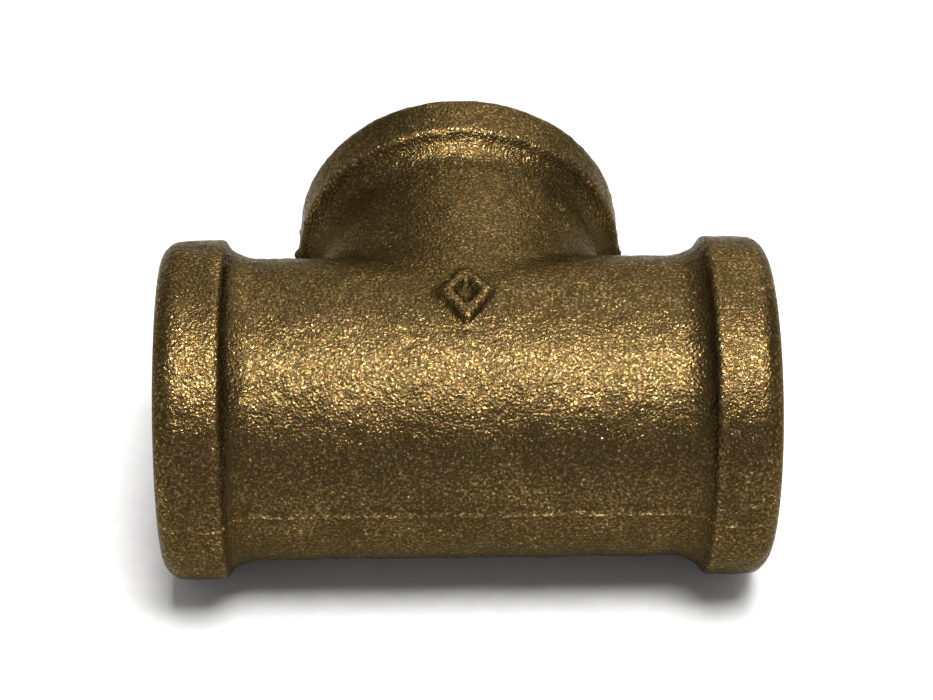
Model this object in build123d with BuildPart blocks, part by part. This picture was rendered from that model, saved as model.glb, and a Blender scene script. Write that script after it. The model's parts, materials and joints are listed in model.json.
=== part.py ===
"""Half-inch cast bronze tee: one casting with three banded ends, each tapped inside.

The run lies along X and the branch points along +Y. The fitting lies on its three bands, and the
origin is on that floor, under the middle of its bounding box. All sizes are in millimetres.
"""

from build123d import *
import os

# Overall size
centre_to_end = 25.5  # from the crossing of the two axes to each machined end

# Tapped hole at each end, for a parallel half-inch pipe thread; its wall is the tapping bore
thread_major_diameter = 20.955
thread_depth = 1.162
thread_length = 10.9
lead_in_clearance = 0.3  # how much wider the lead-in's mouth is than the thread, on the radius

# Casting: the walls and the cored waterway follow from the thread
waterway_clearance = 0.27  # how much wider the waterway is than the thread, on the radius
wall = 2.05  # of the run's barrel
neck_reduction = 0.3  # how much slimmer the branch's neck is than the run's barrel, on the radius
saddle_radius = 3.0  # blend where the branch grows out of the run, where there is room for it
saddle_room_share = 0.9  # most of the neck's plain length that the blend may take

# Reinforcing band at each end
band_rise = 1.6  # above the run's barrel
band_width = 4.9  # from the end face to where the shoulder starts to fall
band_end_radius = 1.8  # rounded edge beside the end face
band_shoulder_radius = 0.6  # rounded edge on the barrel side
band_cove_radius = 3.2  # hollow between the shoulder and the barrel

# Raised mark cast on top of the run
mark_width = 4.4  # along the run
mark_length = 6.6  # along the branch
mark_rim = 1.0  # width of the raised line that outlines the mark, along the run
mark_height = 0.5  # above the barrel

cut_past = 1.0  # how far the cut inside each arm runs on past the end face

# Worked out from the sizes above
major_radius = thread_major_diameter / 2
minor_radius = major_radius - thread_depth
mouth_radius = major_radius + lead_in_clearance
waterway_radius = major_radius + waterway_clearance
barrel_radius = waterway_radius + wall
neck_radius = barrel_radius - neck_reduction
band_radius = barrel_radius + band_rise
thread_end = centre_to_end - (mouth_radius - minor_radius)
thread_start = thread_end - thread_length
waterway_end = thread_start - (waterway_radius - minor_radius)

# The three arms meet at the crossing of the two axes; each plane's Z runs out along an arm
crossing = Vector(0, (band_radius - centre_to_end) / 2, band_radius)
right = Plane(origin=crossing, x_dir=(0, 1, 0), z_dir=(1, 0, 0))
left = Plane(origin=crossing, x_dir=(0, 1, 0), z_dir=(-1, 0, 0))
branch = Plane(origin=crossing, x_dir=(1, 0, 0), z_dir=(0, 1, 0))


def shoulder_fall(body_radius):
    """How far along the arm the shoulder and the cove take to come down to the body."""
    both_curves = band_cove_radius + band_shoulder_radius
    rise = band_radius - body_radius
    return (both_curves**2 - (both_curves - rise) ** 2) ** 0.5


def solid_arm(body_radius):
    """One arm of the casting, not yet hollow: plain body, cove, shoulder, band, rounded end."""
    fall = shoulder_fall(body_radius)
    rise = band_radius - body_radius
    cove_share = band_cove_radius / (band_cove_radius + band_shoulder_radius)
    shoulder_height = centre_to_end - band_width
    cove_height = shoulder_height - fall
    cove = (body_radius, cove_height)
    meeting = (body_radius + rise * cove_share, cove_height + fall * cove_share)
    shoulder = (band_radius, shoulder_height)
    band_edge = (band_radius, centre_to_end - band_end_radius)
    face_edge = (band_radius - band_end_radius, centre_to_end)
    with BuildPart() as arm:
        with BuildSketch(Plane.XZ):
            with BuildLine():
                Polyline(face_edge, (0, centre_to_end), (0, 0), (body_radius, 0), cove)
                RadiusArc(cove, meeting, band_cove_radius)
                RadiusArc(meeting, shoulder, -band_shoulder_radius)
                Line(shoulder, band_edge)
                RadiusArc(band_edge, face_edge, -band_end_radius)
            make_face()
        revolve(axis=Axis.Z)
    return arm.part


def raised_mark():
    """An open lozenge that stands proud of the top of the run and follows its curve."""
    rim_along = mark_rim * mark_length / mark_width
    with BuildPart() as mark:
        with BuildSketch(Plane(origin=crossing)):
            lozenge(mark_width / 2, mark_length / 2)
            lozenge(mark_width / 2 - mark_rim, mark_length / 2 - rim_along, Mode.SUBTRACT)
        extrude(amount=2 * band_radius)
        with BuildSketch(right.offset(-mark_width)):
            Circle(barrel_radius + mark_height)
        extrude(amount=2 * mark_width, mode=Mode.INTERSECT)
    return mark.part


def lozenge(half_width, half_length, mode=Mode.ADD):
    """A rhombus with its corners on the X and Y axes."""
    corners = ((half_width, 0), (0, half_length), (-half_width, 0), (0, -half_length))
    return Polygon(*corners, align=None, mode=mode)


def arm_space():
    """The space inside one arm: waterway, tapping bore and lead-in."""
    top = centre_to_end + cut_past
    with BuildPart() as space:
        with BuildSketch(Plane.XZ):
            with BuildLine():
                Polyline(
                    (0, 0),
                    (waterway_radius, 0),
                    (waterway_radius, waterway_end),
                    (minor_radius, thread_start),
                    (minor_radius, thread_end),
                    (mouth_radius + cut_past, top),
                    (0, top),
                    (0, 0),
                )
            make_face()
        revolve(axis=Axis.Z)
    return space.part


flat_neck = centre_to_end - band_width - shoulder_fall(neck_radius) - barrel_radius

with BuildPart() as tee_body:
    with Locations(right, left):
        add(solid_arm(barrel_radius))
    with Locations(branch):
        add(solid_arm(neck_radius))
    saddle = tee_body.edges().filter_by(GeomType.BSPLINE)
    fillet(saddle, radius=min(saddle_radius, saddle_room_share * flat_neck))
    add(raised_mark())
    with Locations(right, left, branch):
        add(arm_space(), mode=Mode.SUBTRACT)
tee_body.part.label = "tee_body"

os.makedirs("parts", exist_ok=True)
export_step(tee_body.part, "parts/tee_body.step")
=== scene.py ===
"""Looks for a half-inch sand-cast bronze tee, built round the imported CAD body.

The cast skin is the CAD body's own outside, remeshed and roughened like a sand casting, with its
parting line. The inside is then cut the way the real one is: a cored waterway, helical pipe threads
with flaring lead-ins, and ends faced flat. Shapes are made in millimetres and scaled to metres.
"""

import json
import math

import bmesh
import bpy
import numpy as np
from mathutils import Matrix, Vector, noise


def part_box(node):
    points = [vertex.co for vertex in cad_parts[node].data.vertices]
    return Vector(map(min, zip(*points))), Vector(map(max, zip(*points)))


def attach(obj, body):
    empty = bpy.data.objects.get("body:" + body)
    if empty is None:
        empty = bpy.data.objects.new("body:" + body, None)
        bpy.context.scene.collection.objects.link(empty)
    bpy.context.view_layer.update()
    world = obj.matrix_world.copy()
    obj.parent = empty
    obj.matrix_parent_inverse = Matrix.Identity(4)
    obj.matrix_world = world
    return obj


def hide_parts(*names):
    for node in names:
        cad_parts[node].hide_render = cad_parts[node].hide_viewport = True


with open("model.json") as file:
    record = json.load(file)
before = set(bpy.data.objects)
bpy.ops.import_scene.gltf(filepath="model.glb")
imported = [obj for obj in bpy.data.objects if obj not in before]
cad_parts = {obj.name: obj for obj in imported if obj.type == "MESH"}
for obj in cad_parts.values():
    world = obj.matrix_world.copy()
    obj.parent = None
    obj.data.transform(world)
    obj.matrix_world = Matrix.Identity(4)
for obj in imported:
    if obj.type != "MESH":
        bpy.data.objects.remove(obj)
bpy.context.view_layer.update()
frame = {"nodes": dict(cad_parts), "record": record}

MM = 0.001  # metres in a millimetre

# Sizes of the CAD body, in millimetres
NODE_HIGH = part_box("tee_body")[1]
PORT = frame["record"]["mounts"][0]["dims"]
END = NODE_HIGH.x / MM  # from the crossing of the axes to each end face
BAND_RADIUS = NODE_HIGH.z / MM / 2
CROSSING = Vector((0.0, NODE_HIGH.y / MM - END, BAND_RADIUS))
MINOR_RADIUS = PORT["r_mm"]
THREAD_LENGTH = PORT["length_mm"]

# Half-inch parallel pipe thread, 14 turns to the inch
PITCH = 25.4 / 14
THREAD_DEPTH = 1.162
FLANK_SLOPE = math.tan(math.radians(55 / 2))
HALF_ROOT = PITCH / 4 - THREAD_DEPTH / 2 * FLANK_SLOPE
HALF_OPENING = PITCH / 4 + THREAD_DEPTH / 2 * FLANK_SLOPE
BESIDE_OPENING = 0.04  # from the groove's edge to the row of corners that keeps the crest flat

# Each arm's hole: distance from the crossing and radius, from the waterway to the mouth
WATERWAY_CLEARANCE = 0.27  # how much wider than the thread, on the radius
LEAD_IN_CLEARANCE = 0.3
WATERWAY_RADIUS = MINOR_RADIUS + THREAD_DEPTH + WATERWAY_CLEARANCE
MOUTH_RADIUS = MINOR_RADIUS + THREAD_DEPTH + LEAD_IN_CLEARANCE
THREAD_END = END - (MOUTH_RADIUS - MINOR_RADIUS)
THREAD_START = THREAD_END - THREAD_LENGTH
WATERWAY_END = THREAD_START - (WATERWAY_RADIUS - MINOR_RADIUS)
HOLE_OUT = (0.0, WATERWAY_END, THREAD_START, THREAD_END, END)
HOLE_RADIUS = (WATERWAY_RADIUS, WATERWAY_RADIUS, MINOR_RADIUS, MINOR_RADIUS, MOUTH_RADIUS)

# How the meshes are made, in millimetres unless it says otherwise
SKIN_VOXEL = 0.33
OPENED_ROUND_MOUTH = 1.5  # voxels round each mouth where the skin is taken off
ROUND_STEPS = 120  # corners round each hole
CORE_RINGS = 14  # rings along each arm's waterway
SAME_PLACE = 1e-4  # corners nearer than this are one
PAST_SKIN = 1.0  # how far beyond the casting's outside a cut or a region reaches
BRANCH_RIM = 0.985  # the branch cutter's inner rim, as a share of the waterway's radius
FACE_TOLERANCE = 1e-3  # a face nearer than this to an end's plane lies on it
CRISP_ANGLES = (60, 20, 28)  # degrees, for an edge with no, one or two machined faces

# Sand-cast skin, in millimetres: heights, and the sizes of what stands that high
FACING = 0.06  # left on each end for the facing cut
END_BLEND = 1.2  # how far back from an end the roughness fades in
SWELL = 0.06
SWELL_SIZE = 7.0
LUMP = 0.05
LUMP_SIZE = 1.8
GRAIN = 0.08
GRAIN_SIZE = 0.8
GRAIN_MIDDLE = 0.55  # the share of a grain's height that stays below the skin's own level
CORE_ROUGHNESS = 0.15
CORE_LUMP_SIZE = 1.6
CORE_FADE = 3  # rings at each end of the waterway over which its roughness fades in

# Parting line, in millimetres
PARTING_HEIGHT = 0.30
PARTING_FAINT = 0.2  # share of the height that is left where the ridge is broken
PARTING_WIDTH = 0.32
PARTING_STEP = 0.05  # between the mould's halves
PARTING_WANDER = 0.12
WANDER_SIZE = 5.0
BREAK_SIZE = 2.2  # of the ridge's whole and broken stretches
BRANCH_FLASH = 0.30  # extra height of the parting ridge beside the branch's band

# Inner edge of each band, in millimetres
BAND_WIDTH = 4.9
EDGE_ROUNDING = 0.25  # how far the shoulder's rounding moves the edge in
BAND_EDGE = END - BAND_WIDTH - EDGE_ROUNDING  # out along the arm
BEAD_HEIGHT = 0.07
BEAD_WIDTH = 0.28
CREVICE_DEPTH = 0.08
CREVICE_WIDTH = 0.42
CREVICE_IN = 0.8  # from the edge to the middle of the hollow beside it
BRANCH_CREVICE = 0.35  # depth of the branch's hollow as a share of the run's

# Lozenge cast on top of the run, in millimetres
MARK_HALF_WIDTH = 2.2
MARK_HALF_LENGTH = 3.3
MARK_HOLLOW = 0.55  # size of its hollow, as a share of its outline
MARK_LIFT = 0.22  # extra height of its rim
MARK_EDGE = 0.10  # half the rim's sloping edge, as a share of the outline

CAST, MACHINED = 0, 1  # material slots of the body

# The three arms: outward direction of each
RIGHT, LEFT, BRANCH = Vector((1, 0, 0)), Vector((-1, 0, 0)), Vector((0, 1, 0))
ARMS = (RIGHT, LEFT, BRANCH)

# How far a seed of one shifts a noise from where it was
FRACTAL_SHIFT = Vector((17.3, 5.1, 11.7))
PEBBLE_SHIFT = Vector((7.9, 3.3, 13.1))


# ---------------------------------------------------------------- small helpers


def smooth_ramp(x, low, high):
    """0 below low, 1 above high, and a smooth curve between."""
    t = np.clip((x - low) / (high - low), 0, 1)
    return t * t * (3 - 2 * t)


def bell(distance, width):
    """1 where the distance is nothing, falling smoothly to either side."""
    return np.exp(-((distance / width) ** 2))


def arm_coordinates(points, direction):
    """How far each point is out along an arm, and how far it is from the arm's axis."""
    offset = points - np.array(CROSSING)
    out = offset @ np.array(direction)
    across = offset - np.outer(out, np.array(direction))
    return out, np.linalg.norm(across, axis=1)


def fractal(points, size, octaves, seed):
    """Cloud-like noise from about -1 to 1, whose largest lumps are size across."""
    shift = FRACTAL_SHIFT * seed
    return np.array([noise.fractal(Vector(p) / size + shift, 1.0, 2.0, octaves) for p in points])


def pebbles(points, size, seed):
    """Rounded grains packed side by side, 1 at the top of a grain and 0 in the gaps."""
    shift = PEBBLE_SHIFT * seed
    nearest = np.array([noise.voronoi(Vector(p) / size + shift)[0][0] for p in points])
    return 1 - np.clip(nearest, 0, 1)


def mesh_points(mesh):
    """The corners of a mesh, one row each."""
    points = np.empty(len(mesh.vertices) * 3)
    mesh.vertices.foreach_get("co", points)
    return points.reshape(-1, 3)


def new_object(name, data):
    """Puts a mesh, a lamp or a camera in the scene as an object of that name."""
    piece = bpy.data.objects.new(name, data)
    bpy.context.scene.collection.objects.link(piece)
    return piece


def closed_solid(name, corners, faces):
    """An object whose corners in the same place are joined and whose normals face outward."""
    mesh = bpy.data.meshes.new(name)
    mesh.from_pydata([tuple(c) for c in corners], [], faces)
    edit = bmesh.new()
    edit.from_mesh(mesh)
    bmesh.ops.remove_doubles(edit, verts=edit.verts, dist=SAME_PLACE)
    bmesh.ops.dissolve_degenerate(edit, edges=edit.edges, dist=SAME_PLACE)
    bmesh.ops.recalc_face_normals(edit, faces=edit.faces)
    edit.to_mesh(mesh)
    edit.free()
    return new_object(name, mesh)


def apply_modifiers(piece):
    """Makes the modifiers' result the object's own mesh."""
    shown = piece.evaluated_get(bpy.context.evaluated_depsgraph_get())
    mesh = bpy.data.meshes.new_from_object(shown)
    piece.modifiers.clear()
    piece.data = mesh


# ---------------------------------------------------------------- the cast skin


def even_skin():
    """The CAD body in millimetres, meshed evenly all over."""
    mesh = frame["nodes"]["tee_body"].data.copy()
    mesh.transform(Matrix.Scale(1 / MM, 4))
    skin = new_object("cast_skin", mesh)
    remesh = skin.modifiers.new("even", "REMESH")
    remesh.mode = "VOXEL"
    remesh.voxel_size = SKIN_VOXEL
    smooth = skin.modifiers.new("smooth", "SMOOTH")
    smooth.iterations = 1
    apply_modifiers(skin)
    return skin


def closed_skin():
    """The CAD body's outside, with its inside taken away and each end closed by a flat face."""
    skin = even_skin()
    points = mesh_points(skin.data)
    inside = np.zeros(len(points), bool)
    for direction in ARMS:
        out, radius = arm_coordinates(points, direction)
        inside |= (out > -SKIN_VOXEL) & (radius < MOUTH_RADIUS + OPENED_ROUND_MOUTH * SKIN_VOXEL)
    edit = bmesh.new()
    edit.from_mesh(skin.data)
    hidden = [corner for corner, gone in zip(edit.verts, inside) if gone]
    bmesh.ops.delete(edit, geom=hidden, context="VERTS")
    rims = [edge for edge in edit.edges if edge.is_boundary]
    bmesh.ops.holes_fill(edit, edges=rims, sides=0)
    bmesh.ops.recalc_face_normals(edit, faces=edit.faces)
    edit.to_mesh(skin.data)
    edit.free()
    return skin


def parting_line(points):
    """Height of the thin, broken ridge and the slight step where the mould's halves met."""
    wander = PARTING_WANDER * fractal(points, WANDER_SIZE, octaves=2, seed=4)
    above = points[:, 2] - CROSSING.z - wander
    unbroken = smooth_ramp(fractal(points, BREAK_SIZE, octaves=3, seed=5), -0.5, 0.5)
    ridge = PARTING_HEIGHT * (PARTING_FAINT + (1 - PARTING_FAINT) * unbroken)
    ridge += BRANCH_FLASH * beside_branch_band(points) * unbroken
    step = PARTING_STEP * smooth_ramp(above, -PARTING_WIDTH, PARTING_WIDTH)
    return bell(above, PARTING_WIDTH) * ridge + step


def beside_branch_band(points):
    """1 on the end of the branch's neck and the start of its band, and 0 elsewhere."""
    out = arm_coordinates(points, BRANCH)[0]
    begun = smooth_ramp(out, BAND_EDGE - 4, BAND_EDGE - 2)
    over = smooth_ramp(out, BAND_EDGE, BAND_EDGE + 2)
    return begun * (1 - over)


def band_edges(points):
    """Height of the slight bead on each band's inner edge, and the hollow beside it."""
    height = np.zeros(len(points))
    for direction in ARMS:
        out, radius = arm_coordinates(points, direction)
        near_arm = radius < BAND_RADIUS + PAST_SKIN
        depth = CREVICE_DEPTH * (BRANCH_CREVICE if direction is BRANCH else 1)
        bead = BEAD_HEIGHT * bell(out - BAND_EDGE, BEAD_WIDTH)
        hollow = depth * bell(out - BAND_EDGE + CREVICE_IN, CREVICE_WIDTH)
        height += near_arm * (bead - hollow)
    return height


def mark_rim(points):
    """Extra height of the rim of the lozenge on top of the run, which remeshing has softened."""
    offset = np.abs(points - np.array(CROSSING))
    outward = offset[:, 0] / MARK_HALF_WIDTH + offset[:, 1] / MARK_HALF_LENGTH
    past_hollow = smooth_ramp(outward, MARK_HOLLOW - MARK_EDGE, MARK_HOLLOW + MARK_EDGE)
    past_rim = smooth_ramp(outward, 1 - MARK_EDGE, 1 + MARK_EDGE)
    on_top = points[:, 2] > CROSSING.z
    return MARK_LIFT * on_top * past_hollow * (1 - past_rim)


def roughen(skin):
    """Moves the skin's corners along their normals, and its ends out by the facing allowance."""
    points = mesh_points(skin.data)
    normals = np.array([normal.vector for normal in skin.data.vertex_normals])
    height = SWELL * fractal(points, SWELL_SIZE, octaves=2, seed=1)
    height += LUMP * fractal(points, LUMP_SIZE, octaves=3, seed=2)
    height += GRAIN * (pebbles(points, GRAIN_SIZE, seed=3) - GRAIN_MIDDLE)
    height += parting_line(points) + band_edges(points) + mark_rim(points)
    moved = points.copy()
    for direction in ARMS:
        near_end = smooth_ramp(arm_coordinates(points, direction)[0], END - END_BLEND, END)
        height *= 1 - near_end
        moved += np.outer(FACING * near_end, np.array(direction))
    moved += normals * height[:, None]
    skin.data.vertices.foreach_set("co", moved.ravel())
    skin.data.update()


# ---------------------------------------------------------------- the cored and machined inside


def circle(radius, out):
    """Corners of a circle round an arm's axis; radius is one number or one for each corner."""
    angles = 2 * math.pi * np.arange(ROUND_STEPS) / ROUND_STEPS
    flat = (np.cos(angles) * radius, np.sin(angles) * radius, np.full(ROUND_STEPS, out))
    return np.stack(flat, axis=1)


def core_circle(number):
    """One ring of the waterway, rough as a sand core leaves it, and true at both ends."""
    out = WATERWAY_END * number / CORE_RINGS
    fade = min(number, CORE_RINGS - number, CORE_FADE) / CORE_FADE
    lumps = fractal(circle(WATERWAY_RADIUS, out), CORE_LUMP_SIZE, octaves=4, seed=6)
    return circle(WATERWAY_RADIUS + CORE_ROUGHNESS * fade * lumps, out)


def thread_row(turn, offset):
    """One row of corners once round the helix, offset along the axis from the groove's middle.

    The row is held back to the waterway's end and to the end face, where it runs on as a circle.
    """
    share = np.arange(ROUND_STEPS + 1) / ROUND_STEPS
    out = np.clip((turn + share) * PITCH + offset, WATERWAY_END, END)
    depth = np.clip((HALF_OPENING - abs(offset)) / FLANK_SLOPE, 0, THREAD_DEPTH)
    radius = np.maximum(np.interp(out, HOLE_OUT, HOLE_RADIUS), MINOR_RADIUS + depth)
    angles = 2 * math.pi * share
    return np.stack((np.cos(angles) * radius, np.sin(angles) * radius, out), axis=1)


def thread_rows():
    """All rows of the threaded part, from the waterway's end to the end face."""
    middle_flank = (HALF_ROOT + HALF_OPENING) / 2
    side = (HALF_ROOT, middle_flank, HALF_OPENING, HALF_OPENING + BESIDE_OPENING)
    offsets = [-x for x in reversed(side)] + list(side)
    turns = range(math.floor(WATERWAY_END / PITCH) - 2, math.ceil(END / PITCH) + 2)
    return [thread_row(turn, offset) for turn in turns for offset in offsets]


def strips(rings, closed):
    """Corners and faces of a skin stretched over rings of equal length, one after another."""
    count = len(rings[0])
    corners = np.concatenate(rings)
    steps = range(count if closed else count - 1)
    faces = []
    for low in range(0, len(corners) - count, count):
        for step in steps:
            after = (step + 1) % count
            near, far = low + step, low + after
            faces.append((near, far, far + count, near + count))
    return corners, faces


def joined(*parts):
    """One list of corners and one of faces from several pairs of them."""
    corners, faces = [], []
    for part_corners, part_faces in parts:
        start = len(corners)
        corners.extend(part_corners)
        faces.extend(tuple(start + index for index in face) for face in part_faces)
    return corners, faces


def on_arm(corners, direction):
    """Corners made round the Z axis from nothing, turned and moved on to an arm."""
    turn = direction.to_track_quat("Z", "Y")
    return [CROSSING + turn @ Vector(corner) for corner in corners]


def arm_space(direction):
    """Corners and faces of what is cut from one arm: its hole, and all beyond the faced end.

    It is open at the crossing, where its rim is a circle of the waterway's radius.
    """
    waterway = strips([core_circle(number) for number in range(CORE_RINGS + 1)], True)
    thread = strips(thread_rows(), False)
    wide = BAND_RADIUS + PAST_SKIN
    top = END + PAST_SKIN
    beyond = strips([circle(MOUTH_RADIUS, END), circle(wide, END), circle(wide, top)], True)
    lid = (circle(wide, top), [tuple(range(ROUND_STEPS))])
    corners, faces = joined(waterway, thread, beyond, lid)
    return on_arm(corners, direction), faces


def run_cutter():
    """The space of the two run arms, joined at the crossing."""
    return closed_solid("run_cutter", *joined(arm_space(RIGHT), arm_space(LEFT)))


def branch_cutter():
    """The space of the branch arm, closed at the crossing just inside the run's waterway."""
    corners, faces = arm_space(BRANCH)
    corners[:ROUND_STEPS] = on_arm(circle(BRANCH_RIM * WATERWAY_RADIUS, 0.0), BRANCH)
    return closed_solid("branch_cutter", corners, faces + [tuple(range(ROUND_STEPS))])


def subtract(piece, cutter):
    """Cuts the cutter's space out of the piece and removes the cutter."""
    cut = piece.modifiers.new("cut", "BOOLEAN")
    cut.operation = "DIFFERENCE"
    cut.solver = "MANIFOLD"
    cut.object = cutter
    apply_modifiers(piece)
    bpy.data.objects.remove(cutter)


# ---------------------------------------------------------------- the finished casting


def machined_faces(mesh):
    """Which faces lie on a thread, a lead-in or a faced end."""
    centres = np.empty(len(mesh.polygons) * 3)
    mesh.polygons.foreach_get("center", centres)
    machined = np.zeros(len(mesh.polygons), bool)
    for direction in ARMS:
        out, radius = arm_coordinates(centres.reshape(-1, 3), direction)
        machined |= (radius < MOUTH_RADIUS) & (out > WATERWAY_END)
        machined |= out > END - FACE_TOLERANCE
    return machined


def set_finishes(mesh):
    """Gives each face its material and marks the edges that stay crisp."""
    slots = np.where(machined_faces(mesh), MACHINED, CAST)
    mesh.polygons.foreach_set("material_index", slots)
    mesh.polygons.foreach_set("use_smooth", np.ones(len(slots), bool))
    edit = bmesh.new()
    edit.from_mesh(mesh)
    for edge in edit.edges:
        machined = sum(face.material_index == MACHINED for face in edge.link_faces)
        edge.smooth = edge.calc_face_angle(0) < math.radians(CRISP_ANGLES[machined])
    edit.to_mesh(mesh)
    edit.free()


def casting():
    """The whole tee: one rough skin with its holes cut, in metres."""
    tee = closed_skin()
    tee.name = tee.data.name = "tee_casting"
    roughen(tee)
    subtract(tee, run_cutter())
    subtract(tee, branch_cutter())
    tee.data.materials.clear()
    tee.data.materials.append(cast_bronze())
    tee.data.materials.append(machined_bronze())
    set_finishes(tee.data)
    tee.data.transform(Matrix.Scale(MM, 4))
    return tee


# ---------------------------------------------------------------- materials

# A colour Mix node's sockets, whose names it shares with its sockets of other kinds
COLOUR_A, COLOUR_B, MIXED_COLOUR = 6, 7, 2

ALONG_X, ALONG_Y, ALONG_Z = (1, 0, 0), (0, 1, 0), (0, 0, 1)
ACROSS_X, ACROSS_Y = (0, 1, 1), (1, 0, 1)


class Nodes:
    """A material under construction, placed in millimetres from the crossing of the axes."""

    def __init__(self, name):
        self.material = bpy.data.materials.new(name)
        self.material.use_nodes = True
        self.tree = self.material.node_tree
        self.surface = self.tree.nodes["Principled BSDF"]
        coordinates = self.tree.nodes.new("ShaderNodeTexCoord")
        scale = self.tree.nodes.new("ShaderNodeVectorMath")
        scale.operation = "SCALE"
        scale.inputs["Scale"].default_value = 1 / MM
        self.join(coordinates.outputs["Object"], scale.inputs[0])
        centre = self.tree.nodes.new("ShaderNodeVectorMath")
        centre.operation = "SUBTRACT"
        centre.inputs[1].default_value = CROSSING
        self.join(scale.outputs[0], centre.inputs[0])
        self.place = centre.outputs[0]

    def join(self, source, target):
        """Links an output to an input."""
        self.tree.links.new(source, target)

    def noise(self, size, detail=2.0, roughness=0.5, place=None):
        """Clouds whose largest lumps are size millimetres across."""
        node = self.tree.nodes.new("ShaderNodeTexNoise")
        node.inputs["Scale"].default_value = 1 / size
        node.inputs["Detail"].default_value = detail
        node.inputs["Roughness"].default_value = roughness
        self.join(place or self.place, node.inputs["Vector"])
        return node.outputs["Fac"]

    def grains(self, size):
        """Distance from the nearest grain's middle, for grains size millimetres apart."""
        node = self.tree.nodes.new("ShaderNodeTexVoronoi")
        node.inputs["Scale"].default_value = 1 / size
        self.join(self.place, node.inputs["Vector"])
        return node.outputs["Distance"]

    def sum(self, *terms):
        """The sum of (factor, value) terms."""
        total = None
        for factor, value in terms:
            node = self.tree.nodes.new("ShaderNodeMath")
            node.operation = "MULTIPLY_ADD"
            self.join(value, node.inputs[0])
            node.inputs[1].default_value = factor
            node.inputs[2].default_value = 0.0
            if total:
                self.join(total, node.inputs[2])
            total = node.outputs[0]
        return total

    def remap(self, value, low, high, to_low=0.0, to_high=1.0):
        """Value stretched from one range to another, and held inside it."""
        node = self.tree.nodes.new("ShaderNodeMapRange")
        node.inputs["From Min"].default_value = low
        node.inputs["From Max"].default_value = high
        node.inputs["To Min"].default_value = to_low
        node.inputs["To Max"].default_value = to_high
        self.join(value, node.inputs["Value"])
        return node.outputs["Result"]

    def ramp(self, value, *stops):
        """Colours blended along a value, from (position, colour) stops."""
        node = self.tree.nodes.new("ShaderNodeValToRGB")
        elements = node.color_ramp.elements
        for element, (position, colour) in zip(elements, (stops[0], stops[-1])):
            element.position = position
            element.color = (*colour, 1)
        for position, colour in stops[1:-1]:
            elements.new(position).color = (*colour, 1)
        self.join(value, node.inputs["Fac"])
        return node.outputs["Color"]

    def tinted(self, colour, tint, share):
        """A colour multiplied by a tint wherever share is high."""
        node = self.tree.nodes.new("ShaderNodeMix")
        node.data_type = "RGBA"
        node.blend_type = "MULTIPLY"
        self.join(share, node.inputs["Factor"])
        self.join(colour, node.inputs[COLOUR_A])
        node.inputs[COLOUR_B].default_value = (*tint, 1)
        return node.outputs[MIXED_COLOUR]

    def bump(self, height, distance):
        """Fine relief from a height, whose full range stands distance millimetres proud."""
        node = self.tree.nodes.new("ShaderNodeBump")
        node.inputs["Strength"].default_value = 1.0
        node.inputs["Distance"].default_value = distance * MM
        self.join(height, node.inputs["Height"])
        return node.outputs["Normal"]

    def edges(self):
        """Above a half on raised edges and below it in hollows."""
        node = self.tree.nodes.new("ShaderNodeNewGeometry")
        return node.outputs["Pointiness"]

    def compare(self, first, second):
        """1 where the first value is the greater, and 0 elsewhere."""
        node = self.tree.nodes.new("ShaderNodeMath")
        node.operation = "GREATER_THAN"
        self.join(first, node.inputs[0])
        self.join(second, node.inputs[1])
        return node.outputs[0]

    def reach(self, kept_axes):
        """Distance from the crossing, counting only the axes kept."""
        part = self.tree.nodes.new("ShaderNodeVectorMath")
        part.operation = "MULTIPLY"
        part.inputs[1].default_value = kept_axes
        self.join(self.place, part.inputs[0])
        node = self.tree.nodes.new("ShaderNodeVectorMath")
        node.operation = "LENGTH"
        self.join(part.outputs[0], node.inputs[0])
        return node.outputs["Value"]

    def round_axis(self, along, across, size):
        """Noise that is the same all the way round one axis."""
        both = self.tree.nodes.new("ShaderNodeCombineXYZ")
        self.join(self.reach(across), both.inputs[0])
        self.join(along, both.inputs[1])
        return self.noise(size, detail=2.0, roughness=0.6, place=both.outputs[0])

    def turning_marks(self, size):
        """Noise that is the same all the way round the axis of whichever arm it is on."""
        along_run = self.reach(ALONG_X)
        along_branch = self.reach(ALONG_Y)
        node = self.tree.nodes.new("ShaderNodeMix")
        self.join(self.compare(along_run, along_branch), node.inputs["Factor"])
        self.join(self.round_axis(along_branch, ACROSS_Y, size), node.inputs["A"])
        self.join(self.round_axis(along_run, ACROSS_X, size), node.inputs["B"])
        return node.outputs["Result"]


def bronze(level):
    """The metal's colour at a brightness from 0 to 1."""
    return level, 0.665 * level, 0.25 * level


PALE_GLINT = (0.62, 0.45, 0.21)  # bare metal on the tops of the grains
RED_BROWN = (1.05, 0.9, 0.88)  # tints of the thin scale on the skin
OLIVE = (0.86, 0.95, 0.85)
DULL_EDGE = (0.62, 0.58, 0.50)  # how much of a glancing reflection the dull skin keeps
DULL, POLISHED = 0.44, 0.18  # roughness between the glints and on them


def grain_height(m):
    """Height of the sand's print on the skin, too fine for the mesh."""
    fine = m.noise(0.19, detail=2.0, roughness=0.6)
    sand = m.remap(m.grains(0.30), 0.0, 0.7, 1.0, 0.0)
    clumps = m.noise(1.1, detail=3.0, roughness=0.6)
    return m.sum((0.45, sand), (0.9, fine), (0.5, clumps))


def rubbed_parts(m):
    """How much the skin is rubbed bright: on raised edges and along the parting line."""
    worn = m.remap(m.edges(), 0.46, 0.54)
    ragged = m.noise(1.4, detail=3.0, roughness=0.7)
    off_parting = m.sum((1.0, m.reach(ALONG_Z)), (1.6, ragged))
    parting = m.remap(off_parting, 0.75, 1.15, 1.0, 0.0)
    return m.sum((0.45, worn), (0.22, parting))


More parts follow.
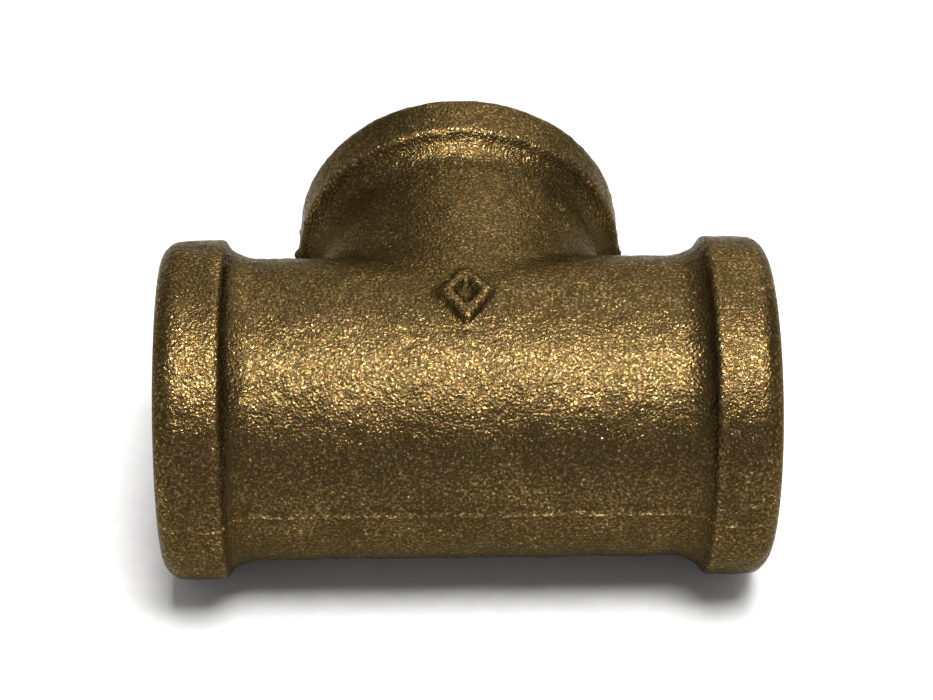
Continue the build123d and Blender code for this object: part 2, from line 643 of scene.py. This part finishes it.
def painted_shade(m):
    """How much painted shade darkens the skin: in the hollow beside each run band's inner edge, and
    on the sides of the branch beyond its neck, near the parting plane.
    """
    # Painted shade in the hollow beside each run band's inner edge, taken off again on the band
    # itself
    into_crevice = m.remap(m.reach(ALONG_X), BAND_EDGE - 2.0, BAND_EDGE - 0.9)
    out_of_crevice = m.remap(m.reach(ALONG_X), BAND_EDGE - 0.3, BAND_EDGE)
    # Painted shade on the sides of the branch beyond its neck, near the parting plane
    past_neck = m.remap(m.reach(ALONG_Y), 14.5, 17.5)
    off_middle = m.remap(m.reach(ALONG_Z), 1.0, 4.5)
    shade_beside_branch = m.remap(m.sum((1.0, past_neck), (-1.0, off_middle)), 0.0, 0.8)
    return m.sum((0.22, into_crevice), (-0.22, out_of_crevice), (0.55, shade_beside_branch))


def scaled_metal(m, metal):
    """The metal under specks of thin red-brown and olive scale."""
    red_share = m.remap(m.noise(0.45, detail=2.0, roughness=0.6), 0.50, 0.62)
    olive_share = m.remap(m.noise(0.7, detail=2.0, roughness=0.6), 0.52, 0.66)
    return m.tinted(m.tinted(metal, RED_BROWN, red_share), OLIVE, olive_share)


def cast_bronze():
    """Sand-cast bronze: dark and granular, with golden tops to its grains."""
    m = Nodes("cast_bronze_skin")
    height = grain_height(m)
    glint = m.noise(0.24, detail=1.0, roughness=0.5)
    blotch = m.noise(5.0, detail=3.0, roughness=0.55)
    shine = m.sum((2.2, glint), (0.6, height), (0.6, blotch))
    # The metal is darkened where painted shade lies: in the run bands' hollows and on the branch's
    # sides
    shine = m.sum((1.0, shine), (1.0, rubbed_parts(m)), (-1.0, painted_shade(m)))
    metal = m.ramp(
        m.remap(shine, 1.95, 2.93),
        (0.0, bronze(0.045)),
        (0.4, bronze(0.09)),
        (0.75, bronze(0.18)),
        (1.0, PALE_GLINT),
    )
    m.join(scaled_metal(m, metal), m.surface.inputs["Base Color"])
    m.join(m.remap(glint, 0.35, 0.65, DULL, POLISHED), m.surface.inputs["Roughness"])
    m.join(m.bump(height, 0.08), m.surface.inputs["Normal"])
    m.surface.inputs["Metallic"].default_value = 1.0
    m.surface.inputs["Specular Tint"].default_value = (*DULL_EDGE, 1)
    return m.material


def machined_bronze():
    """Cut bronze: brighter than the skin, with turning marks, and dulled in patches."""
    m = Nodes("machined_bronze")
    marks = m.turning_marks(0.13)
    patches = m.noise(1.6, detail=4.0, roughness=0.65)
    specks = m.noise(0.25, detail=2.0, roughness=0.6)
    dull = m.sum((0.6, patches), (0.4, specks))
    level = m.sum((0.7, dull), (0.3, marks))
    metal = m.ramp(level, (0.38, bronze(0.20)), (0.62, bronze(0.42)))
    m.join(metal, m.surface.inputs["Base Color"])
    m.join(m.remap(dull, 0.38, 0.62, 0.28, 0.46), m.surface.inputs["Roughness"])
    m.join(m.bump(marks, 0.022), m.surface.inputs["Normal"])
    m.surface.inputs["Metallic"].default_value = 1.0
    return m.material


def white_board():
    """Pale matt card under the fitting, which the lights bring up to white."""
    m = Nodes("white_board")
    fibres = m.noise(1.5, detail=3.0, roughness=0.6)
    colour = m.ramp(fibres, (0.3, (0.49, 0.49, 0.49)), (0.7, (0.53, 0.53, 0.53)))
    m.join(colour, m.surface.inputs["Base Color"])
    m.join(m.bump(fibres, 0.01), m.surface.inputs["Normal"])
    m.surface.inputs["Roughness"].default_value = 0.9
    return m.material


# ---------------------------------------------------------------- stage, lights and camera

FLOOR_SIZE = 4.0
LIGHT_DISTANCE = 0.6
FRONT_LIGHT = Vector((0.09, -0.29, 0.95))  # direction from the fitting
BACK_LIGHT = Vector((0.25, 0.75, 0.62))
WORLD_LIGHT = 0.55

# The camera, about the crossing of the axes: degrees and millimetres
VIEW_ELEVATION = 43.29
VIEW_SIDE = -1.98
VIEW_ROLL = 0.80
VIEW_DISTANCE = 231.0
VIEW_AIM = (0.08, 4.91)  # right of and above the crossing, as the camera sees it
VIEW_LENS = 104.3
NEAREST_SEEN = 0.01  # metres


def floor():
    """A flat, pale floor under the three bands."""
    half = FLOOR_SIZE / 2
    corners = [(-half, -half, 0), (half, -half, 0), (half, half, 0), (-half, half, 0)]
    mesh = bpy.data.meshes.new("floor")
    mesh.from_pydata(corners, [], [(0, 1, 2, 3)])
    mesh.materials.append(white_board())
    new_object("floor", mesh)


def softbox(name, direction, size, watts):
    """A square light that shines on the fitting from a direction."""
    lamp = bpy.data.lights.new(name, "AREA")
    lamp.size = size
    lamp.energy = watts
    light = new_object(name, lamp)
    light.location = CROSSING * MM + direction.normalized() * LIGHT_DISTANCE
    light.rotation_euler = direction.to_track_quat("Z", "Y").to_euler()


def lights():
    """A softbox overhead and a little in front, a larger, dimmer one behind, and a white room."""
    softbox("front_softbox", FRONT_LIGHT, size=0.20, watts=7.7)
    softbox("back_softbox", BACK_LIGHT, size=0.50, watts=2.0)
    world = bpy.data.worlds.new("room")
    world.use_nodes = True
    world.node_tree.nodes["Background"].inputs["Strength"].default_value = WORLD_LIGHT
    world.node_tree.nodes["Background"].inputs["Color"].default_value = (1, 1, 1, 1)
    bpy.context.scene.world = world
    bpy.context.scene.view_settings.view_transform = "Standard"


def camera():
    """A camera above and in front of the run, a little to its left and hardly rolled."""
    side = math.radians(VIEW_SIDE)
    up_angle = math.radians(VIEW_ELEVATION)
    level = math.cos(up_angle)
    back = Vector((math.sin(side) * level, -math.cos(side) * level, math.sin(up_angle)))
    right = Vector((math.cos(side), math.sin(side), 0))
    up = back.cross(right)
    place = CROSSING + back * VIEW_DISTANCE
    aim = CROSSING + right * VIEW_AIM[0] + up * VIEW_AIM[1]
    back = (place - aim).normalized()
    right = up.cross(back).normalized()
    up = back.cross(right)
    roll = Matrix.Rotation(math.radians(VIEW_ROLL), 3, "Z")
    turn = Matrix((right, up, back)).transposed() @ roll
    data = bpy.data.cameras.new("camera")
    data.lens = VIEW_LENS
    data.clip_start = NEAREST_SEEN
    eye = new_object("camera", data)
    eye.matrix_world = Matrix.LocRotScale(place * MM, turn, None)
    bpy.context.scene.camera = eye


camera()
lights()
floor()
tee = casting()
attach(tee, "root")
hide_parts("tee_body")
